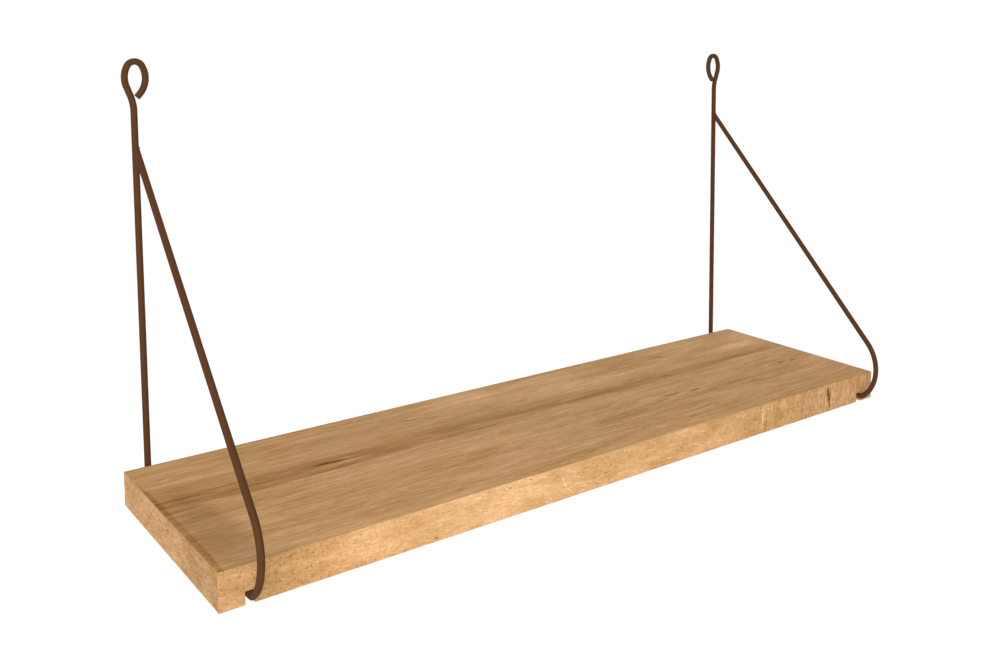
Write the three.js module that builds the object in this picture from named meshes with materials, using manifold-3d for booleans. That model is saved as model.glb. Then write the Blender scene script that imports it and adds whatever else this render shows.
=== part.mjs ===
// A wall shelf: one oak board lies in two bent steel rods, and each rod hangs on the wall by its eye.
//
// Millimetres, +Z up, +X along the board, +Y into the wall. The origin lies on the wall, midway between
// the two eyes, level with the underside of their crowns. That level is the hanging line, where the wall
// screws carry the shelf, and a drop is measured down from it.

import * as THREE from 'three';
import { mergeVertices } from 'three/addons/utils/BufferGeometryUtils.js';
import Module from 'manifold-3d';

// Board
const BOARD_LENGTH = 720;
const BOARD_DEPTH = 230;
const BOARD_THICKNESS = 30;
const HEEL_CLEARANCE = 1.5;        // from the rod's bend behind the board to its rear edge
const TOE_CLEARANCE = 2;           // from its front edge to the rod's bend before it
const GROOVE_DEPTH = 10;
const GROOVE_SIDE_CLEARANCE = 0.5; // between the rod and each wall of its groove
const SEAT_CLEARANCE = 0.3;        // between the rod and the roof of its groove

// Rod, with its lengths and bends measured along its middle line
const ROD_DIAMETER = 5.5;
const ROD_INSET = 22;              // from the end of the board
const RUN_DROP = 369;              // the level run under the board
const WELD_DROP = 69.5;            // where the brace meets the upright
const FRONT_BEND_RADIUS = 39;
const TIGHT_BEND_RADIUS = 7.5;     // the heel below the upright and the toe before the front bend
const TOE_ANGLE = THREE.MathUtils.degToRad(35);

// Eye, bent in a plane parallel to the wall
const EYE_WIDTH = 16.5;
const EYE_FLANK_RADIUS = 22;
const EYE_CROWN_SHARE = 0.79;      // the crown's radius, as a share of half the eye's width
const EYE_SHIFT = 1.8;             // from the upright to the middle of the eye, towards the other rod
const EYE_END_GAP = 0.6;           // between the free end of the rod and the neck
const NECK_RADIUS = 40;
const NECK_ANGLE = THREE.MathUtils.degToRad(20);

// Weld bead round the end of the brace
const WELD_GAP = 0.3;              // between the bead and the rods, and between the brace and the upright
const WELD_THROAT = 0.8;           // how far the bead stands proud of the rods, to each side
const WELD_LEG = 1.8;              // how far it runs up and down the upright, past the brace
const WELD_REACH = 4;              // how far it runs out along the brace

// How finely the round shapes are drawn
const ROD_SIDES = 16;
const BEAD_SIDES = 24;
const BEND_STEP = THREE.MathUtils.degToRad(8);
const SAME_POINT = 0.001;

const LEFT = -1;
const RIGHT = 1;
const X = new THREE.Vector3(1, 0, 0);
const Y = new THREE.Vector3(0, 1, 0);
const Z = new THREE.Vector3(0, 0, 1);
const QUARTER_TURN = Math.PI / 2;

const rodRadius = ROD_DIAMETER / 2;
const rodX = BOARD_LENGTH / 2 - ROD_INSET;
const uprightY = -rodRadius;
const boardRearY = uprightY - TIGHT_BEND_RADIUS - HEEL_CLEARANCE;
const boardFrontY = boardRearY - BOARD_DEPTH;
const grooveRoofZ = -RUN_DROP + rodRadius + SEAT_CLEARANCE;
const boardBottomZ = grooveRoofZ - GROOVE_DEPTH;
const weldPoint = new THREE.Vector3(0, uprightY, -WELD_DROP);

const wasm = await Module();
wasm.setup();

const oak = new THREE.MeshStandardMaterial({ color: 0xb48a5f, roughness: 0.62, metalness: 0 });
const rustBrownSteel = new THREE.MeshStandardMaterial({ color: 0x69422a, roughness: 0.5, metalness: 0.35 });

// A middle line given by stations, each a point and the way that the rod runs there. Stations lie close
// together round a bend, and a straight stretch needs none between its ends.
class RodLine extends THREE.Curve {
  constructor(stations) {
    super();
    this.stations = stations;
  }

  stationAt(share) {
    return this.stations[Math.round(share * (this.stations.length - 1))];
  }

  getPointAt(share, target = new THREE.Vector3()) {
    return target.copy(this.stationAt(share).point);
  }

  getTangentAt(share, target = new THREE.Vector3()) {
    return target.copy(this.stationAt(share).tangent);
  }
}

// Stations round an arc in the plane of the unit vectors across and up. Angles turn from across to up.
function arcStations(centre, radius, across, up, from, to) {
  const count = Math.ceil(Math.abs(to - from) / BEND_STEP);
  const turn = Math.sign(to - from);
  const stations = [];
  for (let i = 0; i <= count; i += 1) {
    const angle = THREE.MathUtils.lerp(from, to, i / count);
    const point = centre.clone()
      .addScaledVector(across, radius * Math.cos(angle))
      .addScaledVector(up, radius * Math.sin(angle));
    const tangent = new THREE.Vector3()
      .addScaledVector(across, -turn * Math.sin(angle))
      .addScaledVector(up, turn * Math.cos(angle));
    stations.push({ point, tangent });
  }
  return stations;
}

// The eye from the rod's free end, over the crown and down the neck to the top of the upright. Both
// flanks are arcs of one radius with their widest points level, and the tighter crown joins them.
// Places are measured outward from the upright, away from the other rod, and up.
function eyeStations(side) {
  const outward = X.clone().multiplyScalar(side);
  const halfWidth = EYE_WIDTH / 2;
  const crownRadius = halfWidth * EYE_CROWN_SHARE;
  const flankOffset = EYE_FLANK_RADIUS - halfWidth;
  const crownAngle = Math.acos(flankOffset / (EYE_FLANK_RADIUS - crownRadius));
  const crown = new THREE.Vector2(-EYE_SHIFT, rodRadius - crownRadius);
  const widestZ = crown.y - flankOffset * Math.tan(crownAngle);
  const innerFlank = new THREE.Vector2(flankOffset - EYE_SHIFT, widestZ);
  const outerFlank = new THREE.Vector2(-flankOffset - EYE_SHIFT, widestZ);

  const acrossNeck = new THREE.Vector2(-Math.cos(NECK_ANGLE), Math.sin(NECK_ANGLE));
  const neckTop = outerFlank.clone().addScaledVector(acrossNeck, -EYE_FLANK_RADIUS);
  const neckFall = (neckTop.x - NECK_RADIUS * (1 - Math.cos(NECK_ANGLE))) / Math.tan(NECK_ANGLE);
  const neckFootZ = neckTop.y - neckFall - NECK_RADIUS * Math.sin(NECK_ANGLE);
  const neckBend = new THREE.Vector2(NECK_RADIUS, neckFootZ);

  const endToNeck = rodRadius + EYE_END_GAP - innerFlank.clone().sub(neckTop).dot(acrossNeck);
  const endAngle = Math.acos(endToNeck / (EYE_FLANK_RADIUS - rodRadius)) - NECK_ANGLE;

  function eyeArc(centre, radius, from, to) {
    const middle = new THREE.Vector3(0, uprightY, centre.y).addScaledVector(outward, centre.x);
    return arcStations(middle, radius, outward, Z, from, to);
  }
  return [
    ...eyeArc(innerFlank, EYE_FLANK_RADIUS, Math.PI + endAngle, Math.PI - crownAngle),
    ...eyeArc(crown, crownRadius, Math.PI - crownAngle, crownAngle),
    ...eyeArc(outerFlank, EYE_FLANK_RADIUS, crownAngle, -NECK_ANGLE),
    ...eyeArc(neckBend, NECK_RADIUS, Math.PI - NECK_ANGLE, Math.PI),
  ];
}

// The rod below its eye: down the upright, round the heel, forward under the board, up round the toe and
// the front bend, and back along the brace to where it meets the middle of the upright.
function triangleStations() {
  const bendZ = -RUN_DROP + TIGHT_BEND_RADIUS;
  const heel = new THREE.Vector3(0, uprightY - TIGHT_BEND_RADIUS, bendZ);
  const toe = new THREE.Vector3(0, boardFrontY - TOE_CLEARANCE, bendZ);
  const frontFromToe = new THREE.Vector3(0, Math.sin(TOE_ANGLE), Math.cos(TOE_ANGLE));
  const front = toe.clone().addScaledVector(frontFromToe, FRONT_BEND_RADIUS - TIGHT_BEND_RADIUS);

  const toWeld = weldPoint.clone().sub(front);
  const braceAngle = Math.atan2(toWeld.z, toWeld.y) + Math.acos(FRONT_BEND_RADIUS / toWeld.length());
  return [
    ...arcStations(heel, TIGHT_BEND_RADIUS, Y, Z, 0, -QUARTER_TURN),
    ...arcStations(toe, TIGHT_BEND_RADIUS, Y, Z, -QUARTER_TURN, -QUARTER_TURN - TOE_ANGLE),
    ...arcStations(front, FRONT_BEND_RADIUS, Y, Z, -QUARTER_TURN - TOE_ANGLE, braceAngle - 2 * Math.PI),
  ];
}

// The way the brace runs, up and back to the weld
function braceDirection() {
  return triangleStations().at(-1).tangent;
}

// Cuts the end of the brace flat and parallel to the upright, by sliding its points along the brace.
function mitreBrace(geometry, end, direction) {
  const faceY = uprightY - rodRadius - WELD_GAP;
  const position = geometry.attributes.position;
  const point = new THREE.Vector3();
  for (let i = 0; i < position.count; i += 1) {
    point.fromBufferAttribute(position, i);
    if (point.distanceTo(end) < ROD_DIAMETER) {
      point.addScaledVector(direction, (faceY - point.y) / direction.y);
      position.setXYZ(i, point.x, point.y, point.z);
    }
  }
}

function rodSection() {
  const corners = [];
  for (let i = 0; i < ROD_SIDES; i += 1) {
    const angle = 2 * Math.PI * (i + 1 / 2) / ROD_SIDES;
    corners.push(new THREE.Vector2(Math.cos(angle), Math.sin(angle)).multiplyScalar(rodRadius));
  }
  return new THREE.Shape(corners);
}

// One rod, bent all along its length, from the free end in the eye to the mitred end of the brace
function rodGeometry(side) {
  const direction = braceDirection();
  const braceEnd = weldPoint.clone().addScaledVector(direction, -(rodRadius + WELD_GAP) / direction.y);
  const stations = [...eyeStations(side), ...triangleStations(), { point: braceEnd, tangent: direction }]
    .filter((station, i, all) => i === 0 || station.point.distanceTo(all[i - 1].point) > SAME_POINT);
  const line = new RodLine(stations);
  const geometry = new THREE.ExtrudeGeometry(rodSection(), { steps: stations.length - 1, extrudePath: line });
  mitreBrace(geometry, braceEnd, direction);
  return geometry;
}

function solidFrom(geometry) {
  geometry.deleteAttribute('normal');
  geometry.deleteAttribute('uv');
  const merged = mergeVertices(geometry);
  return new wasm.Manifold(new wasm.Mesh({
    numProp: 3,
    vertProperties: new Float32Array(merged.attributes.position.array),
    triVerts: new Uint32Array(merged.index.array),
  }));
}

function geometryFrom(solid) {
  const mesh = solid.getMesh();
  const geometry = new THREE.BufferGeometry();
  geometry.setAttribute('position', new THREE.BufferAttribute(mesh.vertProperties, mesh.numProp));
  geometry.setIndex(new THREE.BufferAttribute(mesh.triVerts, 1));
  geometry.computeVertexNormals();
  return geometry;
}

// A round bar that clears a rod by the weld gap, centred at a point on the rod and as long as is needed
// to pass right through the bead
function clearedRod(centre, direction) {
  const length = 2 * (ROD_DIAMETER + WELD_LEG + WELD_REACH);
  const bar = new THREE.CylinderGeometry(rodRadius + WELD_GAP, rodRadius + WELD_GAP, length, BEAD_SIDES);
  bar.applyQuaternion(new THREE.Quaternion().setFromUnitVectors(Y, direction));
  bar.translate(centre.x, centre.y, centre.z);
  return solidFrom(bar);
}

// The bead runs all round the end of the brace and fills the corner to the upright.
function weldGeometry() {
  const direction = braceDirection();
  const root = weldPoint.clone().addScaledVector(direction, -rodRadius / direction.y);
  const bead = new THREE.SphereGeometry(1, BEAD_SIDES, BEAD_SIDES / 2);
  bead.scale(rodRadius + WELD_THROAT, WELD_REACH, rodRadius / direction.y + WELD_LEG);
  bead.translate(root.x, root.y, root.z);
  const solid = solidFrom(bead)
    .subtract(clearedRod(new THREE.Vector3(0, uprightY, root.z), Z))
    .subtract(clearedRod(root, direction));
  return geometryFrom(solid);
}

// The board's outline seen from the front, with a groove across its underside over each rod
function boardShape() {
  const halfLength = BOARD_LENGTH / 2;
  const halfGroove = rodRadius + GROOVE_SIDE_CLEARANCE;
  const shape = new THREE.Shape();
  shape.moveTo(-halfLength, 0);
  for (const grooveX of [-rodX, rodX]) {
    shape.lineTo(grooveX - halfGroove, 0);
    shape.lineTo(grooveX - halfGroove, GROOVE_DEPTH);
    shape.lineTo(grooveX + halfGroove, GROOVE_DEPTH);
    shape.lineTo(grooveX + halfGroove, 0);
  }
  shape.lineTo(halfLength, 0);
  shape.lineTo(halfLength, BOARD_THICKNESS);
  shape.lineTo(-halfLength, BOARD_THICKNESS);
  return shape;
}

function makeBoard() {
  const geometry = new THREE.ExtrudeGeometry(boardShape(), { depth: BOARD_DEPTH, bevelEnabled: false });
  const board = new THREE.Mesh(geometry, oak);
  board.name = 'board';
  board.rotation.x = QUARTER_TURN;
  board.position.set(0, boardRearY, boardBottomZ);
  return board;
}

function makeBracket(side, sideName) {
  const rod = new THREE.Mesh(rodGeometry(side), rustBrownSteel);
  rod.name = `${sideName}_rod`;
  const weld = new THREE.Mesh(weldGeometry(), rustBrownSteel.clone());
  weld.name = `${sideName}_weld`;
  const bracket = new THREE.Group();
  bracket.position.x = side * rodX;
  bracket.add(rod, weld);
  return bracket;
}

const shelf = new THREE.Group();
shelf.add(makeBoard(), makeBracket(LEFT, 'left'), makeBracket(RIGHT, 'right'));

export default shelf;
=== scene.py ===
"""Looks of a wall shelf: an oak board in two bent steel rods, each of which hangs on the wall by its eye.

Metres, +Z up, +X along the board, +Y into the wall. The origin lies on the wall, midway between the two
eyes, level with the underside of their crowns.
"""

import logging
import math
from collections.abc import Iterable, Sequence
from dataclasses import dataclass
from enum import Enum

import bmesh
import bpy
from mathutils import Euler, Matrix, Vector


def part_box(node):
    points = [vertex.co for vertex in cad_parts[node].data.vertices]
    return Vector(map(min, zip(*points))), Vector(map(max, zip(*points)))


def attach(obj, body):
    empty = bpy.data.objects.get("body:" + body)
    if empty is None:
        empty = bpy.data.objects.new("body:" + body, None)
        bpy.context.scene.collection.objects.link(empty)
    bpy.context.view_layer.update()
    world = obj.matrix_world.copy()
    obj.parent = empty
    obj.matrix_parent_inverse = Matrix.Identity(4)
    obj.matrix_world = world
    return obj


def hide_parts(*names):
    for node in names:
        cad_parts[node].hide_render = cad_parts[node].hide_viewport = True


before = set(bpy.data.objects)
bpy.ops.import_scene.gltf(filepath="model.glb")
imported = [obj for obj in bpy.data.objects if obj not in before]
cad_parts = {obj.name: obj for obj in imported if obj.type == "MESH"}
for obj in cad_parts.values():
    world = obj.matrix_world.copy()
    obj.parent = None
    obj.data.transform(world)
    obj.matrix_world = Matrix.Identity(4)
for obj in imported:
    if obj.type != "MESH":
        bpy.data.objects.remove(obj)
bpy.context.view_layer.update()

log = logging.getLogger("shelf")

Colour = tuple[float, float, float]
Point = tuple[float, float, float]
Socket = bpy.types.NodeSocket
Value = float | tuple | Socket

X_AXIS = Vector((1, 0, 0))
Y_AXIS = Vector((0, 1, 0))
FULL_TURN = 2 * math.pi
QUARTER_TURN = math.pi / 2
WHITE = (1.0, 1.0, 1.0)

# Nearly all of an even noise lies within this span.
NOISE_SPAN = (0.2, 0.8)


def opaque(colour: Colour) -> tuple[float, float, float, float]:
    """Gives a colour its full alpha."""
    return (*colour, 1.0)


class Pen:
    """Draws a node tree: adds nodes, sets their inputs and joins them.

    The Mix node's sockets for colours have the same names as those for numbers, so they go by their place.
    """

    mix_share: int = 0
    mix_first: int = 6
    mix_second: int = 7
    mix_result: int = 2

    def __init__(self, tree: bpy.types.NodeTree) -> None:
        """Starts on a tree, which it empties."""
        self.tree = tree
        tree.nodes.clear()

    def add(self, kind: str, inputs: dict[str | int, Value] | None = None,
            **settings: object) -> bpy.types.Node:
        """Adds one node.

        Args:
            kind: the node's type.
            inputs: what each input holds, a value or the socket that feeds it, by its name or place.
            settings: the node's own settings.

        Returns:
            The node.
        """
        node = self.tree.nodes.new(kind)
        for name, setting in settings.items():
            setattr(node, name, setting)
        for name, value in (inputs or {}).items():
            if isinstance(value, Socket):
                self.tree.links.new(value, node.inputs[name])
            else:
                node.inputs[name].default_value = value
        return node

    def math(self, operation: str, first: Value, second: Value = 0.0, third: Value = 0.0) -> Socket:
        """Works one sum, by its name, on one, two or three numbers."""
        return self.add("ShaderNodeMath", {0: first, 1: second, 2: third}, operation=operation).outputs[0]

    def total(self, parts: Sequence[Socket]) -> Socket:
        """Adds numbers up.

        Args:
            parts: the numbers, at least one.

        Returns:
            Their sum.
        """
        total = parts[0]
        for part in parts[1:]:
            total = self.math("ADD", total, part)
        return total

    def vector_math(self, operation: str, first: Value, second: Value) -> Socket:
        """Works one sum, by its name, on two vectors."""
        return self.add("ShaderNodeVectorMath", {0: first, 1: second}, operation=operation).outputs[0]

    def length(self, vector: Value) -> Socket:
        """Measures how long a vector is."""
        return self.add("ShaderNodeVectorMath", {0: vector}, operation="LENGTH").outputs["Value"]

    def ramp(self, value: Value, low: float, high: float, bottom: float = 0.0, top: float = 1.0) -> Socket:
        """Eases from bottom to top while a value goes from low to high, which may also lie below low."""
        inputs = {"Value": value, "From Min": low, "From Max": high, "To Min": bottom, "To Max": top}
        return self.add("ShaderNodeMapRange", inputs, interpolation_type="SMOOTHSTEP").outputs["Result"]

    def place(self, vector: Value, middle: Point, size: Point, turn: Point = (0.0, 0.0, 0.0)) -> Socket:
        """Gives places as seen from the middle of a turned patch, whose size each way becomes 1."""
        inputs = {"Vector": vector, "Location": middle, "Rotation": turn, "Scale": size}
        return self.add("ShaderNodeMapping", inputs, vector_type="TEXTURE").outputs["Vector"]

    def noise(self, vector: Value, size: Point, seed: float, detail: float = 2.0, roughness: float = 0.5,
              curl: float = 0.0, turn: Point = (0.0, 0.0, 0.0)) -> Socket:
        """Makes an even noise around 0.5.

        Args:
            vector: the places.
            size: how long its features are each way.
            seed: which of the many noises it is.
            detail: how many finer layers it has.
            roughness: how strong they are.
            curl: how far it curls.
            turn: how far it is turned about each axis.

        Returns:
            The noise.
        """
        inputs = {
            "Vector": self.place(vector, (seed, seed, seed), size, turn), "Scale": 1.0, "Detail": detail,
            "Roughness": roughness, "Distortion": curl,
        }
        return self.add("ShaderNodeTexNoise", inputs).outputs["Fac"]

    def mix(self, share: Value, first: Value, second: Value) -> Socket:
        """Mixes two colours, with that share of the second."""
        inputs = {self.mix_share: share, self.mix_first: first, self.mix_second: second}
        return self.add("ShaderNodeMix", inputs, data_type="RGBA").outputs[self.mix_result]

    def places(self) -> Socket:
        """Gives the places on the piece."""
        return self.add("ShaderNodeTexCoord").outputs["Object"]

    def surface(self, inputs: dict[str, Value]) -> None:
        """Ends a material with the surface that these inputs make."""
        shader = self.add("ShaderNodeBsdfPrincipled", inputs)
        self.add("ShaderNodeOutputMaterial", {"Surface": shader.outputs["BSDF"]})


def new_material(name: str) -> tuple[bpy.types.Material, Pen]:
    """Starts a material.

    Args:
        name: its name.

    Returns:
        The material and the pen that draws it.
    """
    material = bpy.data.materials.new(name)
    material.use_nodes = True
    return material, Pen(material.node_tree)


class Cut(Enum):
    """How a face of the board was cut from the log, with the axes along and across the face."""

    FACE = (0, 1)
    EDGE = (0, 2)
    END = (1, 2)

    def turn(self, angle: float) -> Point:
        """Gives the turn of a figure that rises to the right, as seen from outside, by so many degrees."""
        turn = math.radians(angle)
        return {Cut.FACE: (0.0, 0.0, turn), Cut.EDGE: (0.0, -turn, 0.0), Cut.END: (-turn, 0.0, 0.0)}[self]


class Tone(Enum):
    """The wood's stain tones and its painted shade, by how much each takes out of red, green and blue."""

    BROWN = (1.0, 1.3, 2.0)
    OLIVE = (1.0, 0.3, 1.1)
    # Painted shade: it darkens red, green and blue alike.
    GREY = (1.0, 1.0, 1.0)


@dataclass(frozen=True)
class Grain:
    """A layer of figure all over a face: streaks or flecks of about one size.

    The wood takes up its stain where the layer's noise rises through the band, and gives up as much below
    it, unless the layer is one-sided. A stain below zero makes paler figure. A clustered layer shows only
    where the first layer is dark. A faded one grows from one share of the board's length to the other, or
    of its breadth where it fades across. A leaning one rises to the right by so many degrees.
    """

    size: Point
    seed: float
    stain: float
    band: tuple[float, float] = (0.3, 0.7)
    detail: float = 2.0
    roughness: float = 0.5
    curl: float = 0.0
    lean: float = 0.0
    one_sided: bool = False
    clustered: bool = False
    fade_shares: tuple[float, float] | None = None
    fades_across: bool = False
    tone: Tone = Tone.BROWN


@dataclass(frozen=True)
class Mark:
    """One oval mark on the top, the front edge or the left end; one in the grey tone is painted shade.

    Its middle is given in shares of the face: on the top from the left and the rear, on the edge from the
    left and the top, and on the end from the rear and the top. It rises to the right by its slant in
    degrees. It holds its whole stain out to the core's share of its reach, and eases off from there.
    """

    along_share: float
    across_share: float
    length: float
    breadth: float
    stain: float
    slant: float = 0.0
    tone: Tone = Tone.BROWN
    core_share: float = 0.1


@dataclass(frozen=True)
class Figure:
    """All the figure of one cut, and how much more brown stain that cut holds than the top."""

    grains: tuple[Grain, ...]
    marks: tuple[Mark, ...]
    more_stain: float = 0.0


FACE_GRAINS = (
    Grain((0.1200, 0.0300, 0.0300), 7.7, 0.050, curl=0.4),
    Grain((0.0800, 0.0070, 0.0100), 1.9, 0.065),
    Grain((0.0360, 0.0030, 0.0040), 5.3, 0.060),
    Grain((0.0300, 0.0016, 0.0020), 8.8, 0.260, band=(0.56, 0.66), one_sided=True, clustered=True),
    Grain((0.0260, 0.0017, 0.0020), 5.6, 0.220, band=(0.60, 0.72), detail=1.0, curl=0.4, one_sided=True,
          fade_shares=(0.25, 0.60), fades_across=True),
    Grain((0.0360, 0.0018, 0.0020), 3.9, -0.130, band=(0.62, 0.72), detail=0.0, one_sided=True),
    Grain((0.0040, 0.0015, 0.0020), 9.2, 0.240, band=(0.54, 0.62), one_sided=True,
          fade_shares=(0.011, 0.006)),
    Grain((0.0500, 0.0150, 0.0200), 2.4, 0.030, curl=0.5, tone=Tone.OLIVE),
    Grain((0.0080, 0.0016, 0.0020), 6.6, 0.060, curl=0.5),
    Grain((0.0080, 0.0006, 0.0010), 4.1, 0.050),
    Grain((0.0070, 0.0006, 0.0005), 2.6, 0.140, band=(0.62, 0.74), one_sided=True),
)

FACE_MARKS = (
    # The brown strip at the left end, and a patch of painted grey shade beside it.
    Mark(0.000, 0.740, 0.012, 0.2800, 0.26, core_share=0.8),
    Mark(0.029, 0.740, 0.050, 0.2300, 0.30, tone=Tone.GREY, core_share=0.4),
    # Broad paler and darker fields.
    Mark(0.440, 0.100, 0.130, 0.0500, -0.15),
    Mark(0.890, 0.100, 0.260, 0.0800, -0.11),
    Mark(0.600, 0.260, 0.260, 0.0400, -0.18),
    Mark(0.940, 0.260, 0.140, 0.0400, -0.19),
    Mark(0.030, 0.440, 0.080, 0.0340, -0.20),
    Mark(0.065, 0.290, 0.110, 0.0340, 0.13),
    Mark(0.190, 0.100, 0.120, 0.0500, -0.07),
    Mark(0.310, 0.400, 0.120, 0.0400, -0.07),
    Mark(0.370, 0.690, 0.100, 0.0380, -0.10),
    Mark(0.610, 0.630, 0.085, 0.0340, -0.13),
    Mark(0.560, 0.725, 0.090, 0.0260, 0.13),
    Mark(0.531, 0.176, 0.260, 0.0700, -0.10),
    # The heartwood's dark border at the left end, and its dark mark with the streaks around it.
    Mark(0.030, 0.421, 0.060, 0.0030, 0.40, 1.5),
    Mark(0.198, 0.404, 0.042, 0.0062, 0.95, -6, core_share=0.3),
    Mark(0.171, 0.398, 0.036, 0.0030, 0.40),
    Mark(0.226, 0.412, 0.034, 0.0028, 0.35),
    Mark(0.181, 0.409, 0.120, 0.0050, 0.25),
    Mark(0.113, 0.395, 0.060, 0.0046, 0.26),
    Mark(0.188, 0.442, 0.100, 0.0090, -0.14),
    # Streaks along the heartwood.
    Mark(0.437, 0.366, 0.190, 0.0046, 0.22),
    Mark(0.475, 0.401, 0.140, 0.0110, 0.14),
    Mark(0.600, 0.420, 0.210, 0.0120, 0.26),
    Mark(0.690, 0.408, 0.110, 0.0060, 0.12),
    Mark(0.737, 0.415, 0.035, 0.0060, 0.14),
    Mark(0.860, 0.400, 0.120, 0.0320, 0.10),
    Mark(0.906, 0.403, 0.180, 0.0090, 0.32),
    Mark(0.790, 0.367, 0.080, 0.0036, 0.16),
    # The long streak and the slanting mark behind the heartwood.
    Mark(0.150, 0.231, 0.170, 0.0032, 0.18),
    Mark(0.316, 0.129, 0.034, 0.0034, 0.25, -8),
    Mark(0.341, 0.180, 0.030, 0.0042, 0.55, -22),
    Mark(0.369, 0.209, 0.030, 0.0042, 0.38, -17),
    Mark(0.400, 0.243, 0.027, 0.0028, 0.18, -13),
    Mark(0.353, 0.157, 0.028, 0.0030, -0.16, -22),
    # Pale streaks behind the heartwood, and the slanting mark near the right end.
    Mark(0.606, 0.313, 0.135, 0.0032, -0.18),
    Mark(0.650, 0.344, 0.090, 0.0032, -0.16),
    Mark(0.791, 0.166, 0.024, 0.0090, 0.28, -35),
    Mark(0.806, 0.192, 0.018, 0.0050, 0.38, -30),
    # Four dark flecks, with a paler stretch between them.
    Mark(0.689, 0.640, 0.032, 0.0048, 0.65),
    Mark(0.728, 0.652, 0.024, 0.0052, 0.70),
    Mark(0.927, 0.614, 0.018, 0.0048, 0.65),
    Mark(0.950, 0.626, 0.015, 0.0048, 0.65),
    Mark(0.750, 0.636, 0.055, 0.0060, -0.14),
    # Fine streaks in the front half.
    Mark(0.562, 0.704, 0.120, 0.0046, 0.22),
    Mark(0.581, 0.728, 0.072, 0.0030, 0.24),
    Mark(0.525, 0.748, 0.090, 0.0034, 0.18),
    Mark(0.812, 0.685, 0.072, 0.0060, 0.20),
    Mark(0.887, 0.675, 0.054, 0.0044, 0.18),
    Mark(0.187, 0.849, 0.150, 0.0026, 0.20),
    Mark(0.437, 0.863, 0.120, 0.0026, 0.20),
    Mark(0.550, 0.855, 0.090, 0.0026, 0.18),
    Mark(0.706, 0.519, 0.117, 0.0044, 0.18),
    Mark(0.837, 0.861, 0.040, 0.0044, 0.20),
    # A small crossed mark near the rear left corner.
    Mark(0.031, 0.180, 0.018, 0.0032, -0.26, 20),
    Mark(0.025, 0.160, 0.015, 0.0026, 0.22, -20),
)

EDGE_GRAINS = (
    Grain((0.0400, 0.0500, 0.0160), 6.1, 0.085, curl=0.6),
    Grain((0.0160, 0.0200, 0.0050), 3.3, 0.045, curl=1.5, lean=-3),
    Grain((0.0100, 0.0100, 0.0016), 9.4, 0.070, curl=1.2, lean=-4),
    Grain((0.0030, 0.0100, 0.0013), 5.8, 0.340, band=(0.63, 0.70), curl=0.6, lean=-6, one_sided=True,
          clustered=True),
    Grain((0.0016, 0.0100, 0.0040), 8.4, 0.240, band=(0.56, 0.66), one_sided=True,
          fade_shares=(0.30, 0.06)),
    Grain((0.0120, 0.0100, 0.0012), 7.1, -0.200, band=(0.62, 0.72), detail=1.0, curl=1.5, lean=-7,
          one_sided=True),
    Grain((0.0500, 0.0500, 0.0150), 2.9, 0.030, curl=0.5, tone=Tone.OLIVE),
    Grain((0.0018, 0.0100, 0.0100), 4.6, 0.160, curl=0.6, fade_shares=(0.66, 0.80)),
    Grain((0.0030, 0.0100, 0.0014), 1.7, 0.070),
    Grain((0.0012, 0.0050, 0.0009), 2.2, 0.040),
)

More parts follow.
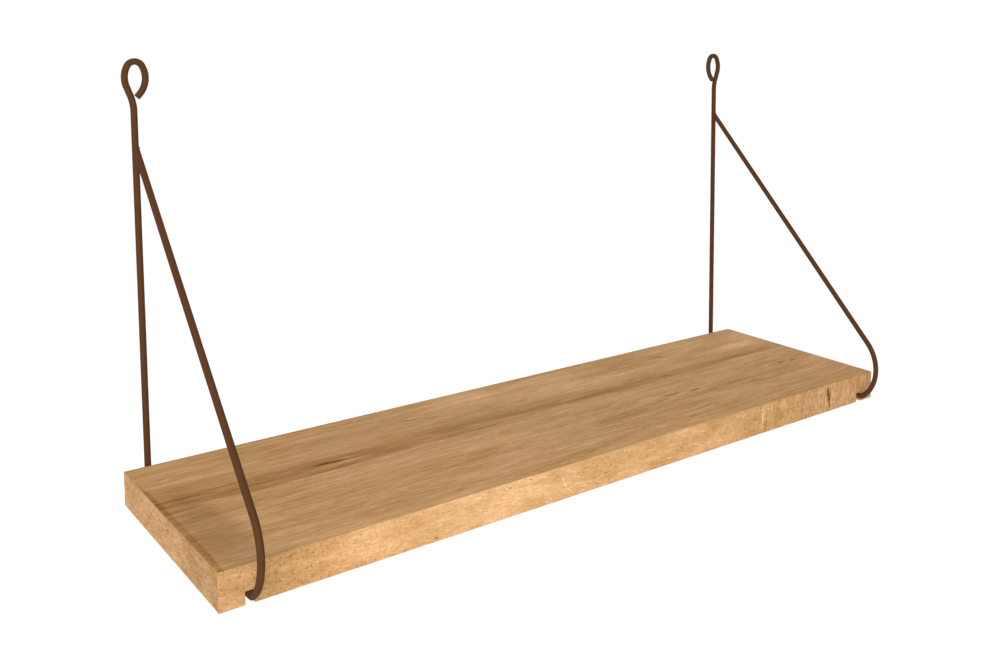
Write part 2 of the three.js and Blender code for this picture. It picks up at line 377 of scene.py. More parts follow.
EDGE_MARKS = (
    # Painted grey shade towards both ends, and broad paler and darker fields.
    Mark(0.0000, 0.50, 0.2400, 0.3000, 0.20, tone=Tone.GREY),
    Mark(1.0000, 0.50, 0.6000, 1.0000, 0.14, tone=Tone.GREY),
    Mark(0.3100, 0.50, 0.2000, 0.0800, -0.08),
    Mark(0.8200, 0.50, 0.2000, 0.0800, 0.05),
    Mark(0.7000, 0.50, 0.0800, 0.0300, -0.08),
    Mark(0.0600, 0.50, 0.1300, 0.0800, 0.07),
    # Specks in the left half.
    Mark(0.2370, 0.89, 0.0050, 0.0020, 0.80),
    Mark(0.3060, 0.09, 0.0090, 0.0015, 0.30),
    Mark(0.3340, 0.15, 0.0030, 0.0020, 0.80),
    Mark(0.3630, 0.09, 0.0040, 0.0015, 0.60),
    # The curved pale line, with a darker field above it and two offshoots.
    Mark(0.4000, 0.25, 0.0240, 0.0150, 0.14),
    Mark(0.4100, 0.40, 0.0120, 0.0012, -0.30, -68, core_share=0.5),
    Mark(0.4135, 0.62, 0.0100, 0.0012, -0.30, -57, core_share=0.5),
    Mark(0.4205, 0.80, 0.0120, 0.0012, -0.30, -42, core_share=0.5),
    Mark(0.4300, 0.43, 0.0170, 0.0014, -0.28, -26),
    Mark(0.4450, 0.79, 0.0140, 0.0013, -0.26, -14),
    # Specks and a long dark line to the right of it.
    Mark(0.4600, 0.84, 0.0060, 0.0014, 0.55),
    Mark(0.4700, 0.87, 0.0050, 0.0014, 0.55),
    Mark(0.4810, 0.84, 0.0060, 0.0014, 0.55),
    Mark(0.4570, 0.65, 0.0060, 0.0014, 0.45),
    Mark(0.4750, 0.60, 0.0060, 0.0014, 0.45),
    Mark(0.4830, 0.40, 0.0030, 0.0030, 0.40),
    Mark(0.4910, 0.52, 0.0030, 0.0030, 0.40),
    Mark(0.5750, 0.85, 0.0400, 0.0014, 0.34, 1),
    # Two slanting pale lines under a darker field.
    Mark(0.6365, 0.70, 0.0200, 0.0014, -0.30, -25),
    Mark(0.6525, 0.79, 0.0130, 0.0014, -0.30, -58),
    Mark(0.6600, 0.22, 0.0300, 0.0160, 0.12),
    # Upright pale and dark lines.
    Mark(0.7570, 0.50, 0.0017, 0.0300, -0.38, core_share=0.5),
    Mark(0.7680, 0.50, 0.0015, 0.0300, -0.30, core_share=0.5),
    Mark(0.7625, 0.72, 0.0040, 0.0120, 0.25),
    Mark(0.7950, 0.50, 0.0030, 0.0200, 0.18),
    Mark(0.8245, 0.38, 0.0014, 0.0150, -0.45, -12),
    Mark(0.8480, 0.78, 0.0016, 0.0090, -0.55),
    # The crack, a dark line that paints the shade in its gap, in darker wood, and what is paler beside it.
    Mark(0.8970, 0.27, 0.0050, 0.0130, 0.75, core_share=0.4),
    Mark(0.9000, 0.53, 0.0046, 0.0130, 0.85, core_share=0.4),
    Mark(0.9012, 0.76, 0.0034, 0.0080, 0.65, core_share=0.4),
    Mark(0.8990, 0.48, 0.0090, 0.0260, 0.35),
    Mark(0.9090, 0.33, 0.0070, 0.0120, -0.28),
    # Lines to the right of the crack.
    Mark(0.9160, 0.13, 0.0180, 0.0014, 0.30),
    Mark(0.9450, 0.55, 0.0016, 0.0150, -0.40, 14),
    Mark(0.9420, 0.86, 0.0050, 0.0080, -0.28),
)

END_GRAINS = (
    Grain((0.0500, 0.0300, 0.0200), 3.7, 0.060, curl=0.5),
    Grain((0.0200, 0.0200, 0.0050), 6.9, 0.080, curl=1.0),
    Grain((0.0200, 0.0080, 0.0022), 1.3, 0.130, detail=3.0, roughness=0.6, curl=0.8, lean=12),
    Grain((0.0100, 0.0060, 0.0016), 5.1, 0.320, band=(0.60, 0.68), curl=0.6, lean=16, one_sided=True,
          clustered=True),
    Grain((0.0100, 0.0060, 0.0014), 2.7, -0.220, band=(0.61, 0.70), curl=0.6, lean=14, one_sided=True),
    Grain((0.0100, 0.0026, 0.0010), 8.2, 0.080, lean=12),
    Grain((0.0020, 0.0009, 0.0009), 7.9, 0.100, band=(0.62, 0.74), one_sided=True),
)

END_MARKS = (
    # Painted grey shade towards the front of each end, then a thin brown line along the top edge.
    Mark(1.000, 0.50, 0.300, 0.6000, 0.20, tone=Tone.GREY),
    Mark(0.500, 0.00, 0.400, 0.0040, 0.12),
)

FIGURES = {
    Cut.FACE: Figure(FACE_GRAINS, FACE_MARKS),
    Cut.EDGE: Figure(EDGE_GRAINS, EDGE_MARKS, more_stain=-0.05),
    Cut.END: Figure(END_GRAINS, END_MARKS, more_stain=-0.06),
}


@dataclass(frozen=True)
class OakFinish:
    """Sanded oak under a thin coat of oil.

    Its figure is more or less of a few stains, and a few marks of painted grey shade. The brown one takes
    more out of green and blue than out of red, so what is darker is also browner, as in real wood.

    The heartwood is a dark band with a crisp front border, which wavers on its way from one share of the
    breadth at the left end to another at the right. Its rear border is soft. It narrows and fades to the
    right, and a few layers of streaks show through it.
    """

    slot: str = "oak"
    colour: Colour = (0.624, 0.349, 0.147)
    roughness: float = 0.62
    roughness_swing: float = 0.05
    roughness_stain: float = 0.06
    gloss: float = 0.03
    relief: float = 0.00007
    relief_layers: int = 3
    mark_depth: float = 0.02
    sway: float = 0.002
    sway_size: Point = (0.25, 0.06, 0.06)
    sway_seed: float = 3.1
    sway_up_share: float = 0.5
    heart_stain: float = 0.3
    heart_border_shares: tuple[float, float] = (0.496, 0.426)
    heart_waver_share: float = 0.005
    heart_waver_size: Point = (0.09, 0.01, 0.01)
    heart_waver_seed: float = 4.4
    heart_front_shares: tuple[float, float] = (0.0, 0.007)
    heart_rear_shares: tuple[float, float] = (0.20, 0.08)
    heart_narrowing: tuple[float, float] = (0.75, 1.95)
    heart_fade: float = 0.3
    heart_streaks: float = 4.0
    heart_streak_layers: tuple[int, int] = (1, 3)

    def make(self, cut: Cut, low: Vector, high: Vector) -> bpy.types.Material:
        """Makes the material of the faces that were cut one way.

        Args:
            cut: how they were cut.
            low: the board's lowest corner.
            high: its highest corner.

        Returns:
            The material.
        """
        material, pen = new_material(f"oak_{cut.name.lower()}")
        places = pen.places()
        apart = pen.add("ShaderNodeSeparateXYZ", {"Vector": places}).outputs
        along = pen.math("DIVIDE", pen.math("SUBTRACT", apart["X"], low.x), high.x - low.x)
        across = pen.math("DIVIDE", pen.math("SUBTRACT", high.y, apart["Y"]), high.y - low.y)
        swayed = self.swayed(pen, places)
        figure = FIGURES[cut]
        layers: list[Socket] = []
        for grain in figure.grains:
            layer = self.grain(pen, swayed, across if grain.fades_across else along, cut, grain)
            if grain.clustered:
                spread = figure.grains[0].stain
                layer = pen.math("MULTIPLY", layer, pen.ramp(layers[0], -spread, spread))
            layers.append(layer)
        stains = [(grain.tone, layer) for grain, layer in zip(figure.grains, layers)]
        stains += [(mark.tone, self.mark(pen, places, cut, mark, low, high)) for mark in figure.marks]
        if cut is Cut.FACE:
            streaks = pen.total(layers[slice(*self.heart_streak_layers)])
            stains.append((Tone.BROWN, self.heartwood(pen, places, along, across, streaks)))
        totals: dict[Tone, Socket] = {}
        for tone in Tone:
            held = [stain for kind, stain in stains if kind is tone]
            if held:
                totals[tone] = pen.total(held)
        totals[Tone.BROWN] = pen.math("ADD", totals[Tone.BROWN], figure.more_stain)
        height = pen.total(layers[-self.relief_layers:])
        bump = pen.add("ShaderNodeBump", {"Distance": self.relief, "Height": height}, invert=True)
        smoothest, roughest = self.roughness - self.roughness_swing, self.roughness + self.roughness_swing
        roughness = pen.ramp(layers[0], -self.roughness_stain, self.roughness_stain, smoothest, roughest)
        pen.surface({
            "Base Color": self.stained(pen, totals), "Roughness": roughness,
            "Specular IOR Level": self.gloss, "Normal": bump.outputs["Normal"],
        })
        return material

    def swayed(self, pen: Pen, places: Socket) -> Socket:
        """Lets the grain wander a little from straight.

        Args:
            pen: the material's pen.
            places: the places on the board.

        Returns:
            The wandering places.
        """
        noise = pen.noise(places, self.sway_size, self.sway_seed)
        sway = pen.ramp(noise, *NOISE_SPAN, -self.sway, self.sway)
        up = pen.math("MULTIPLY", sway, self.sway_up_share)
        shift = pen.add("ShaderNodeCombineXYZ", {"Y": sway, "Z": up})
        return pen.vector_math("ADD", places, shift.outputs["Vector"])

    def grain(self, pen: Pen, places: Socket, share: Socket, cut: Cut, grain: Grain) -> Socket:
        """Draws a layer of figure.

        Args:
            pen: the material's pen.
            places: the places on the board.
            share: the share of the board that a faded layer follows.
            cut: how the face was cut.
            grain: the layer.

        Returns:
            How much stain it adds.
        """
        noise = pen.noise(places, grain.size, grain.seed, grain.detail, grain.roughness, grain.curl,
                          cut.turn(grain.lean))
        stain = pen.ramp(noise, *grain.band, 0.0 if grain.one_sided else -grain.stain, grain.stain)
        if grain.fade_shares:
            stain = pen.math("MULTIPLY", stain, pen.ramp(share, *grain.fade_shares))
        return stain

    def mark(self, pen: Pen, places: Socket, cut: Cut, mark: Mark, low: Vector, high: Vector) -> Socket:
        """Draws one mark, which reaches a little way into the wood.

        Args:
            pen: the material's pen.
            places: the places on the board.
            cut: how the face was cut.
            mark: the mark.
            low: the board's lowest corner.
            high: its highest corner.

        Returns:
            How much stain it adds.
        """
        lengthwise, crosswise = cut.value
        left_rear_top = (low.x, high.y, high.z)
        right_front_bottom = (high.x, low.y, low.z)
        middle = [low.x, low.y, high.z]
        size = [self.mark_depth] * 3
        for axis, share, extent in ((lengthwise, mark.along_share, mark.length),
                                    (crosswise, mark.across_share, mark.breadth)):
            start, end = left_rear_top[axis], right_front_bottom[axis]
            middle[axis] = start + share * (end - start)
            size[axis] = extent / 2
        seen = pen.place(places, tuple(middle), tuple(size), cut.turn(mark.slant))
        return pen.ramp(pen.length(seen), 1.0, mark.core_share, 0.0, mark.stain)

    def heartwood(self, pen: Pen, places: Socket, along: Socket, across: Socket, streaks: Socket) -> Socket:
        """Draws the dark band of heartwood.

        Args:
            pen: the material's pen.
            places: the places on the board.
            along: the share of the board's length.
            across: the share of its breadth, from the rear.
            streaks: the streaks that show through the band.

        Returns:
            How much stain it adds.
        """
        noise = pen.noise(places, self.heart_waver_size, self.heart_waver_seed)
        waver = pen.ramp(noise, *NOISE_SPAN, -self.heart_waver_share, self.heart_waver_share)
        left, right = self.heart_border_shares
        border = pen.math("ADD", pen.math("MULTIPLY_ADD", along, right - left, left), waver)
        inside = pen.math("SUBTRACT", border, across)
        wide, narrow = self.heart_narrowing
        behind = pen.math("MULTIPLY", inside, pen.math("MULTIPLY_ADD", along, narrow - wide, wide))
        front, rear = pen.ramp(inside, *self.heart_front_shares), pen.ramp(behind, *self.heart_rear_shares)
        sides = pen.math("MULTIPLY", front, rear)
        fade = pen.ramp(along, 1.0, 0.0, self.heart_fade, 1.0)
        show = pen.math("MULTIPLY_ADD", streaks, self.heart_streaks, 1.0)
        band = pen.math("MULTIPLY", sides, pen.math("MULTIPLY", fade, show))
        return pen.math("MULTIPLY", band, self.heart_stain)

    def stained(self, pen: Pen, totals: dict[Tone, Socket]) -> Socket:
        """Stains the bare wood, and darkens it with the painted shade.

        Args:
            pen: the material's pen.
            totals: how much it holds of each tone, stains and painted shade alike.

        Returns:
            The stained colour.
        """
        channels: dict[str, Socket] = {}
        for channel, (name, part) in enumerate(zip(("Red", "Green", "Blue"), self.colour)):
            held = pen.total([
                pen.math("MULTIPLY", stain, -tone.value[channel]) for tone, stain in totals.items()
            ])
            channels[name] = pen.math("MULTIPLY", pen.math("EXPONENT", held), part)
        return pen.add("ShaderNodeCombineColor", channels).outputs["Color"]


@dataclass(frozen=True)
class SteelFinish:
    """Steel rod with a satin, rust-brown coat that varies a little towards red and olive."""

    slot: str = "rust_brown_steel"
    brown: Colour = (0.093, 0.0390, 0.0152)
    red: Colour = (0.102, 0.0372, 0.0168)
    olive: Colour = (0.087, 0.0408, 0.0140)
    patch_size: float = 0.02
    patch_seed: float = 4.9
    patch_band: tuple[float, float] = (0.42, 0.65)
    mottle_size: float = 0.006
    mottle_seed: float = 8.3
    mottle_detail: float = 3.0
    mottle_band: tuple[float, float] = (0.50, 0.70)
    roughness: float = 0.5
    roughness_swings: tuple[float, float] = (-0.06, 0.08)
    gloss: float = 0.03
    relief: float = 0.00003
    relief_size: float = 0.0004
    relief_seed: float = 1.1

    def make(self) -> bpy.types.Material:
        """Makes the material.

        Returns:
            The material.
        """
        material, pen = new_material(self.slot)
        places = pen.places()
        patches = pen.noise(places, (self.patch_size,) * 3, self.patch_seed)
        mottle = pen.noise(places, (self.mottle_size,) * 3, self.mottle_seed, self.mottle_detail)
        grain = pen.noise(places, (self.relief_size,) * 3, self.relief_seed)
        colour = pen.mix(pen.ramp(patches, *self.patch_band), opaque(self.brown), opaque(self.red))
        colour = pen.mix(pen.ramp(mottle, *self.mottle_band), colour, opaque(self.olive))
        smoothest, roughest = (self.roughness + swing for swing in self.roughness_swings)
        bump = pen.add("ShaderNodeBump", {"Distance": self.relief, "Height": grain})
        pen.surface({
            "Base Color": colour, "Roughness": pen.ramp(mottle, *NOISE_SPAN, smoothest, roughest),
            "Specular IOR Level": self.gloss, "Normal": bump.outputs["Normal"],
        })
        return material


def mesh_object(name: str, mesh: bpy.types.Mesh) -> bpy.types.Object:
    """Puts a mesh into the scene.

    Args:
        name: the object's name.
        mesh: its mesh.

    Returns:
        The object, at the origin.
    """
    mesh.name = name
    made = bpy.data.objects.new(name, mesh)
    bpy.context.scene.collection.objects.link(made)
    return made


def plain_mesh(source: bpy.types.Object) -> bpy.types.Mesh:
    """Turns what an object's modifiers make into a plain mesh, and removes the object.

    Args:
        source: the object.

    Returns:
        The mesh.
    """
    graph = bpy.context.evaluated_depsgraph_get()
    mesh = bpy.data.meshes.new_from_object(source.evaluated_get(graph), depsgraph=graph)
    bpy.data.objects.remove(source)
    return mesh


class Sweep:
    """A Geometry Nodes tree that draws a round bar along a line of points."""

    name: str = "swept_bar"
    girth_attribute: str = "girth"

    def __init__(self) -> None:
        """Draws the tree."""
        self.tree = bpy.data.node_groups.new(self.name, "GeometryNodeTree")
        self.sockets: dict[str, str] = {}
        for title, kind in (
            ("Line", "NodeSocketGeometry"), ("Diameter", "NodeSocketFloat"), ("Sides", "NodeSocketInt"),
            ("Finish", "NodeSocketMaterial"),
        ):
            socket = self.tree.interface.new_socket(title, in_out="INPUT", socket_type=kind)
            self.sockets[title] = socket.identifier
        self.tree.interface.new_socket("Bar", in_out="OUTPUT", socket_type="NodeSocketGeometry")
        pen = Pen(self.tree)
        given = pen.add("NodeGroupInput").outputs
        named = {"Name": self.girth_attribute}
        girth = pen.add("GeometryNodeInputNamedAttribute", named, data_type="FLOAT")
        line = pen.add("GeometryNodeMeshToCurve", {"Mesh": given["Line"]})
        shaped = pen.add("GeometryNodeSetCurveRadius", {
            "Curve": line.outputs["Curve"], "Radius": girth.outputs["Attribute"],
        })
        section = pen.add("GeometryNodeCurvePrimitiveCircle", {
            "Resolution": given["Sides"], "Radius": pen.math("MULTIPLY", given["Diameter"], 0.5),
        })
        bar = pen.add("GeometryNodeCurveToMesh", {
            "Curve": shaped.outputs["Curve"], "Profile Curve": section.outputs["Curve"], "Fill Caps": True,
        })
        real = pen.add("GeometryNodeRealizeInstances", {"Geometry": bar.outputs["Mesh"]})
        done = pen.add("GeometryNodeSetMaterial", {
            "Geometry": real.outputs["Geometry"], "Material": given["Finish"],
        })
        pen.add("NodeGroupOutput", {"Bar": done.outputs["Geometry"]})

    def draw(self, points: Sequence[Vector], girths: Sequence[float], diameter: float, sides: int,
             finish: bpy.types.Material, closed: bool = False) -> bpy.types.Mesh:
        """Draws one bar.

        Args:
            points: the bar's middle line.
            girths: its thickness at each point, as a share of the diameter.
            diameter: its diameter.
            sides: how many flats its section has.
            finish: its material.
            closed: whether the line ends where it starts.

        Returns:
            The bar as a plain mesh.
        """
        count = len(points)
        steps = [(i, (i + 1) % count) for i in range(count if closed else count - 1)]
        line = bpy.data.meshes.new(self.name)
        line.from_pydata(points, steps, [])
        line.attributes.new(self.girth_attribute, "FLOAT", "POINT").data.foreach_set("value", girths)
        carrier = mesh_object(self.name, line)
        modifier = carrier.modifiers.new(self.name, "NODES")
        modifier.node_group = self.tree
        for title, value in (("Diameter", diameter), ("Sides", sides), ("Finish", finish)):
            modifier[self.sockets[title]] = value
        return plain_mesh(carrier)


@dataclass(frozen=True)
class Bend:
    """A bend of the rod: an arc in a flat plane, with its angles turning from across to up."""

    across: float
    up: float
    radius: float
    start: float
    end: float

    def places(self, step: float) -> list[tuple[float, float]]:
        """Gives places round the bend.

        Args:
            step: the widest angle between two places.

        Returns:
            The places, each across and up.
        """
        turn = self.end - self.start
        count = math.ceil(abs(turn) / step)
        angles = [self.start + turn * i / count for i in range(count + 1)]
        return [
            (self.across + self.radius * math.cos(angle), self.up + self.radius * math.sin(angle))
            for angle in angles
        ]


class Side(Enum):
    """The two ends of the shelf, as seen from the room."""

    LEFT = "left"
    RIGHT = "right"

    @property
    def outward(self) -> int:
        """Says which way along X leads away from the other bracket."""
        return -1 if self is Side.LEFT else 1


@dataclass
class Bracket:
    """One rod, bent all along its length, and the weld that fixes the end of its brace to its upright.

    The rod's places, its bending radii and the width of its eye are those of its middle line. The drops go
    down from the height of the origin.
    """

    side: Side
    rod_x: float
    rod_diameter: float = 0.0055
    run_drop: float = 0.369
    weld_drop: float = 0.0695
    toe_y: float = -0.24375
    front_radius: float = 0.039
    tight_radius: float = 0.0075
    toe_angle: float = math.radians(35)
    eye_width: float = 0.0165
    flank_radius: float = 0.022
    crown_share: float = 0.79
    eye_shift: float = 0.0018
    eye_end_gap: float = 0.0006
    neck_radius: float = 0.04
    neck_angle: float = math.radians(20)
    bend_step: float = math.radians(2)
    least_step: float = 0.00003
    rod_sides: int = 32
    cut_chamfer: float = 0.0003
    bead_diameter: float = 0.0017
    bead_sunk_share: float = 0.25
    bead_sides: int = 12
    bead_ripples: int = 16
    bead_ripple_share: float = 0.07
    ripple_steps: int = 6
    sharp_angle: float = math.radians(40)

    def __post_init__(self) -> None:
        """Works out the rod's own places."""
        self.rod_radius = self.rod_diameter / 2
        self.upright_y = -self.rod_radius
        self.weld_point = Vector((self.rod_x, self.upright_y, -self.weld_drop))

    def eye_bends(self) -> list[Bend]:
        """Gives the bends of the eye and its neck, from the free end down.

        A tight crown joins the eye's two flanks, which have a wider radius. The outer flank runs down into
        the neck, which leads back to the upright, and the inner one ends a small gap short of the neck.

        Returns:
            The bends, across being outward from the upright.
        """
        half = self.eye_width / 2
        crown_radius = half * self.crown_share
        offset = self.flank_radius - half
        crown_angle = math.acos(offset / (self.flank_radius - crown_radius))
        crown_z = self.rod_radius - crown_radius
        widest_z = crown_z - offset * math.tan(crown_angle)
        inner = Vector((offset - self.eye_shift, widest_z))
        outer = Vector((-offset - self.eye_shift, widest_z))
        across_neck = Vector((-math.cos(self.neck_angle), math.sin(self.neck_angle)))
        neck_top = outer - across_neck * self.flank_radius
        neck_inset = self.neck_radius * (1 - math.cos(self.neck_angle))
        fall = (neck_top.x - neck_inset) / math.tan(self.neck_angle)
        foot_z = neck_top.y - fall - self.neck_radius * math.sin(self.neck_angle)
        end_to_neck = self.rod_radius + self.eye_end_gap - (inner - neck_top).dot(across_neck)
        end_angle = math.acos(end_to_neck / (self.flank_radius - self.rod_radius)) - self.neck_angle
        return [
            Bend(inner.x, inner.y, self.flank_radius, math.pi + end_angle, math.pi - crown_angle),
            Bend(-self.eye_shift, crown_z, crown_radius, math.pi - crown_angle, crown_angle),
            Bend(outer.x, outer.y, self.flank_radius, crown_angle, -self.neck_angle),
            Bend(self.neck_radius, foot_z, self.neck_radius, math.pi - self.neck_angle, math.pi),
        ]

    def triangle_bends(self) -> list[Bend]:
        """Gives the bends below the eye: the heel, the toe and the front bend.

        The toe runs on into the front bend without a corner, and from there the brace runs straight to the
        weld.

        Returns:
            The bends, across being along Y.
        """
        bend_z = self.tight_radius - self.run_drop
        front_to_toe = self.front_radius - self.tight_radius
        front = Vector((
            self.toe_y + front_to_toe * math.sin(self.toe_angle),
            bend_z + front_to_toe * math.cos(self.toe_angle),
        ))
        to_weld = self.weld_point.yz - front
        brace = math.atan2(to_weld.y, to_weld.x) + math.acos(self.front_radius / to_weld.length)
        toe_end = -QUARTER_TURN - self.toe_angle
        return [
            Bend(self.upright_y - self.tight_radius, bend_z, self.tight_radius, 0.0, -QUARTER_TURN),
            Bend(self.toe_y, bend_z, self.tight_radius, -QUARTER_TURN, toe_end),
            Bend(front.x, front.y, self.front_radius, toe_end, brace - FULL_TURN),
        ]

    def brace_way(self) -> Vector:
        """Gives the way the brace runs, up and back to the weld."""
        angle = self.triangle_bends()[-1].end
        return Vector((0.0, math.sin(angle), -math.cos(angle)))

    def on_upright(self, point: Vector) -> Vector:
        """Slides a point along the brace until it meets the front of the upright.

        Args:
            point: the point.

        Returns:
            Where it meets the upright.
        """
        across = point.x - self.rod_x
        y = self.upright_y - math.sqrt(max(self.rod_radius ** 2 - across ** 2, 0.0))
        way = self.brace_way()
        return point + way * ((y - point.y) / way.y)

    def rod_line(self) -> list[Vector]:
        """Gives the rod's middle line, from its free end in the eye to the end of the brace.

        Returns:
            The points, with none twice.
        """
        points = [
            Vector((self.rod_x + self.side.outward * across, self.upright_y, up))
            for bend in self.eye_bends() for across, up in bend.places(self.bend_step)
        ]
        points += [
            Vector((self.rod_x, across, up))
            for bend in self.triangle_bends() for across, up in bend.places(self.bend_step)
        ]
        points.append(self.on_upright(self.weld_point))
        steps = zip(points, points[1:])
        return points[:1] + [end for start, end in steps if (end - start).length > self.least_step]

    def make_rod(self, sweep: Sweep, finish: bpy.types.Material) -> bpy.types.Object:
        """Makes the rod, with a broken edge at its free end and a hollowed end on the brace.

        Args:
            sweep: the tree that draws bars.
            finish: the rod's material.

        Returns:
            The rod.
        """
        line = self.rod_line()
        tip = line[0] + (line[1] - line[0]).normalized() * self.cut_chamfer
        line.insert(1, tip)
        girths = [1 - self.cut_chamfer / self.rod_radius] + [1.0] * (len(line) - 1)
        mesh = sweep.draw(line, girths, self.rod_diameter, self.rod_sides, finish)
        for vertex in mesh.vertices:
            if (vertex.co - line[-1]).length < self.rod_diameter:
                vertex.co = self.on_upright(vertex.co)
        return self.finish_piece(mesh, "bent_rod", "rod")

    def bead_line(self) -> list[Vector]:
        """Gives the line of the weld, round the brace where it meets the upright.

        Returns:
            The points of a closed line.
        """
        count = self.bead_ripples * self.ripple_steps
        way = self.brace_way()
        normal = Vector((0.0, -way.z, way.y))
        reach = self.rod_radius - self.bead_diameter * self.bead_sunk_share
        turns = [FULL_TURN * i / count for i in range(count)]
        outward = [X_AXIS * math.cos(turn) + normal * math.sin(turn) for turn in turns]
        return [self.on_upright(self.weld_point + way_out * reach) for way_out in outward]

    def make_weld(self, sweep: Sweep, finish: bpy.types.Material) -> bpy.types.Object:
        """Makes the weld, a rippled bead.

        Args:
            sweep: the tree that draws bars.
            finish: the bead's material.

        Returns:
            The weld.
        """
        line = self.bead_line()
        girths = [
            1 + self.bead_ripple_share * math.cos(FULL_TURN * self.bead_ripples * i / len(line))
            for i in range(len(line))
        ]
        mesh = sweep.draw(line, girths, self.bead_diameter, self.bead_sides, finish, closed=True)
        return self.finish_piece(mesh, "weld_bead", "weld")

    def finish_piece(self, mesh: bpy.types.Mesh, name: str, node: str) -> bpy.types.Object:
        """Shades a mesh and lets it stand for its CAD node.

        Args:
            mesh: the mesh.
            name: what the piece is.
            node: how its node's name ends.

        Returns:
            The piece.
        """
        mesh.shade_smooth()
        mesh.set_sharp_from_angle(angle=self.sharp_angle)
        piece = mesh_object(f"{self.side.value}_{name}", mesh)
        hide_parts(f"{self.side.value}_{node}")
        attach(piece, "brackets")
        return piece


@dataclass
class Board:
    """The oak board, with a groove across its underside near each end."""

    low: Vector
    high: Vector
    groove_inset: float = 0.022
    groove_width: float = 0.0065
    groove_depth: float = 0.01
    eased_edge: float = 0.0005
    ease_steps: int = 3
    round_profile: float = 0.5
    flat_angle: float = math.radians(1)

    @property
    def groove_xs(self) -> tuple[float, float]:
        """Gives the middles of the left and right grooves."""
        return self.low.x + self.groove_inset, self.high.x - self.groove_inset

    def outline(self) -> list[tuple[float, float]]:
        """Gives the board's outline seen from the front.

        Returns:
            The corners, each along X and Z.
        """
        half = self.groove_width / 2
        bottom, roof = self.low.z, self.low.z + self.groove_depth
        corners = [(self.low.x, bottom)]
        for x in self.groove_xs:
            corners += [(x - half, bottom), (x - half, roof), (x + half, roof), (x + half, bottom)]
        return corners + [(self.high.x, bottom), (self.high.x, self.high.z), (self.low.x, self.high.z)]

    def make(self, finish: OakFinish) -> bpy.types.Object:
        """Makes the board with eased edges, and dresses each face by the way it was cut.

        Args:
            finish: the oak.

        Returns:
            The board.
        """
        build = bmesh.new()
        front = build.faces.new([build.verts.new((x, self.low.y, z)) for x, z in self.outline()])
        swept = bmesh.ops.extrude_face_region(build, geom=[front])["geom"]
        moved = [part for part in swept if isinstance(part, bmesh.types.BMVert)]
        bmesh.ops.translate(build, verts=moved, vec=Y_AXIS * (self.high.y - self.low.y))
        bmesh.ops.recalc_face_normals(build, faces=build.faces)
        bmesh.ops.bevel(build, geom=build.edges[:], offset=self.eased_edge, segments=self.ease_steps,
                        profile=self.round_profile, affect="EDGES", clamp_overlap=True)
        bmesh.ops.recalc_face_normals(build, faces=build.faces)
        for face in build.faces:
            face.material_index = list(Cut).index(self.cut_of(face.normal))
            face.smooth = max(abs(part) for part in face.normal) < math.cos(self.flat_angle)
        mesh = bpy.data.meshes.new("oak_board")
        build.to_mesh(mesh)
        build.free()
        for cut in Cut:
            mesh.materials.append(finish.make(cut, self.low, self.high))
        piece = mesh_object("oak_board", mesh)
        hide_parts("board")
        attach(piece, "board")
        return piece

    def cut_of(self, normal: Vector) -> Cut:
        """Says how a face was cut.

        Args:
            normal: the way the face looks.

        Returns:
            Its cut.
        """
        along, across, up = (abs(part) for part in normal)
        if up >= max(along, across):
            return Cut.FACE
        return Cut.EDGE if across >= along else Cut.END


@dataclass(frozen=True)
class Lamp:
    """A square lamp: the way to it, and how bright it makes a white surface that faces it."""

    name: str
    way: Point
    level: float


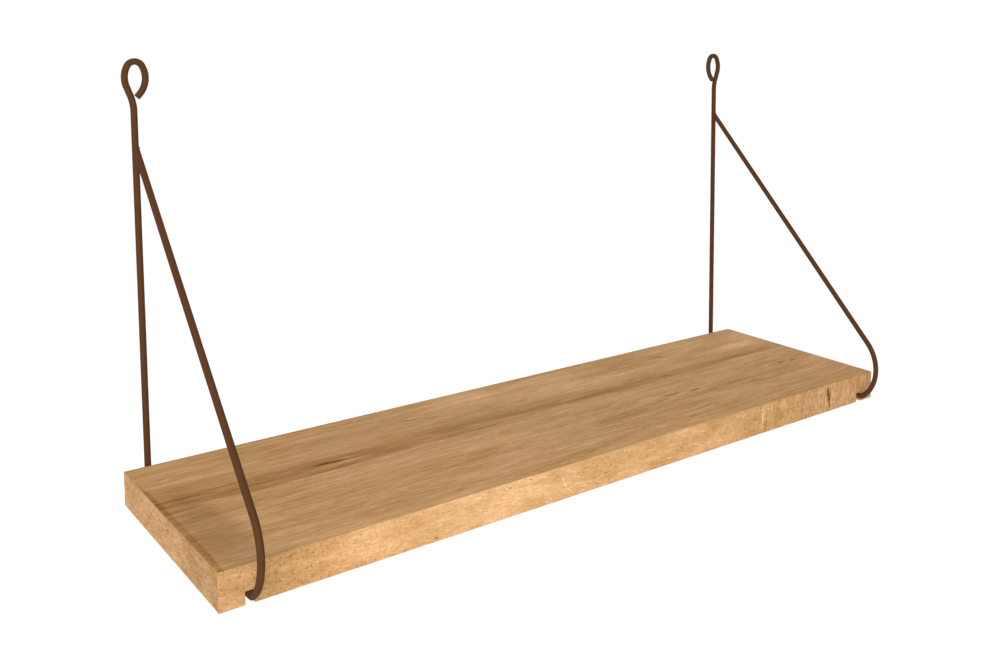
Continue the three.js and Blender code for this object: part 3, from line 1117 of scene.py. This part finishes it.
@dataclass
class Studio:
    """A plain pale floor under soft light.

    The floor glows at the first level near the object, and eases to the second over its glow's reach.
    """

    floor_z: float = -1.2
    floor_reach: float = 20.0
    floor_colour: Colour = (0.8, 0.8, 0.8)
    glow_levels: tuple[float, float] = (0.47, 0.70)
    glow_reach: tuple[float, float] = (0.6, 3.0)
    backdrop_level: float = 1.0
    sky_level: float = 0.40
    lamp_reach: float = 2.4
    lamp_size: float = 1.6
    lamps: tuple[Lamp, ...] = (
        Lamp("key", (-0.58, -0.75, 0.32), 0.92),
        Lamp("fill_behind", (0.6, 0.7, 0.4), 0.17),
    )

    def seen(self, pen: Pen) -> Socket:
        """Finds the rays that come from the camera or a shiny or clear surface.

        Args:
            pen: the material's pen.

        Returns:
            1 for such a ray and 0 for others.
        """
        path = pen.add("ShaderNodeLightPath").outputs
        either = pen.math("MAXIMUM", path["Is Camera Ray"], path["Is Glossy Ray"])
        return pen.math("MAXIMUM", either, path["Is Transmission Ray"])

    def make_sky(self) -> None:
        """Makes an even sky that is white where it is seen."""
        world = bpy.data.worlds.new("sky")
        world.use_nodes = True
        bpy.context.scene.world = world
        pen = Pen(world.node_tree)
        level = pen.ramp(self.seen(pen), 0.0, 1.0, self.sky_level, self.backdrop_level)
        glow = pen.add("ShaderNodeBackground", {"Color": opaque(WHITE), "Strength": level})
        pen.add("ShaderNodeOutputWorld", {"Surface": glow.outputs[0]})

    def make_floor(self) -> None:
        """Makes the floor, which keeps the shadow. It glows more where the lamps light it less."""
        reach = self.floor_reach
        mesh = bpy.data.meshes.new("floor")
        corners = [(x * reach, y * reach, self.floor_z) for x, y in ((-1, -1), (1, -1), (1, 1), (-1, 1))]
        mesh.from_pydata(corners, [], [(0, 1, 2, 3)])
        material, pen = new_material("pale_floor")
        away = pen.length(pen.vector_math("MULTIPLY", pen.places(), tuple(X_AXIS + Y_AXIS)))
        glow = pen.math("MULTIPLY", pen.ramp(away, *self.glow_reach, *self.glow_levels), self.seen(pen))
        pen.surface({
            "Base Color": opaque(self.floor_colour), "Roughness": 1.0, "Specular IOR Level": 0.0,
            "Emission Color": opaque(WHITE), "Emission Strength": glow,
        })
        mesh.materials.append(material)
        mesh_object("floor", mesh)

    def hang(self, lamp: Lamp, target: Vector) -> None:
        """Hangs a lamp.

        Args:
            lamp: the lamp.
            target: the point it looks at.
        """
        light = bpy.data.lights.new(lamp.name, "AREA")
        light.shape = "SQUARE"
        light.size = self.lamp_size
        light.energy = lamp.level * (math.pi * self.lamp_reach) ** 2
        hung = bpy.data.objects.new(lamp.name, light)
        direction = Vector(lamp.way).normalized()
        hung.location = target + direction * self.lamp_reach
        hung.rotation_euler = direction.to_track_quat("Z", "Y").to_euler()
        bpy.context.scene.collection.objects.link(hung)

    def make(self, target: Vector) -> None:
        """Makes the sky, the floor and the lamps.

        Args:
            target: the point the lamps look at.
        """
        self.make_sky()
        self.make_floor()
        for lamp in self.lamps:
            self.hang(lamp, target)


@dataclass(frozen=True)
class ViewCamera:
    """The camera of the photograph's view. That picture is cropped off centre, hence the shift."""

    place: Point = (-0.603876, -0.990018, 0.029450)
    tilt: float = math.radians(84.3459)
    roll: float = math.radians(-0.4505)
    pan: float = math.radians(-40.7593)
    lens: float = 39.3405
    sensor: float = 36.0
    shift: tuple[float, float] = (-0.159041, -0.191551)

    def make(self) -> None:
        """Makes the camera."""
        data = bpy.data.cameras.new("view")
        data.sensor_width = self.sensor
        data.lens = self.lens
        data.shift_x, data.shift_y = self.shift
        camera = bpy.data.objects.new("view", data)
        camera.location = self.place
        camera.rotation_euler = Euler((self.tilt, self.roll, self.pan))
        bpy.context.scene.collection.objects.link(camera)
        bpy.context.scene.camera = camera


def main() -> None:
    """Dresses the shelf and its stage."""
    logging.basicConfig(level=logging.INFO)
    bpy.context.scene.view_settings.view_transform = "Standard"
    board = Board(*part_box("board"))
    pieces = [board.make(OakFinish())]
    steel = SteelFinish().make()
    sweep = Sweep()
    for side, rod_x in zip(Side, board.groove_xs):
        bracket = Bracket(side, rod_x)
        pieces += [bracket.make_rod(sweep, steel), bracket.make_weld(sweep, steel)]
    for piece in pieces:
        log.info("%s: %d faces", piece.name, len(piece.data.polygons))
    Studio().make((board.low + board.high) / 2)
    ViewCamera().make()


if __name__ == "__main__":
    main()
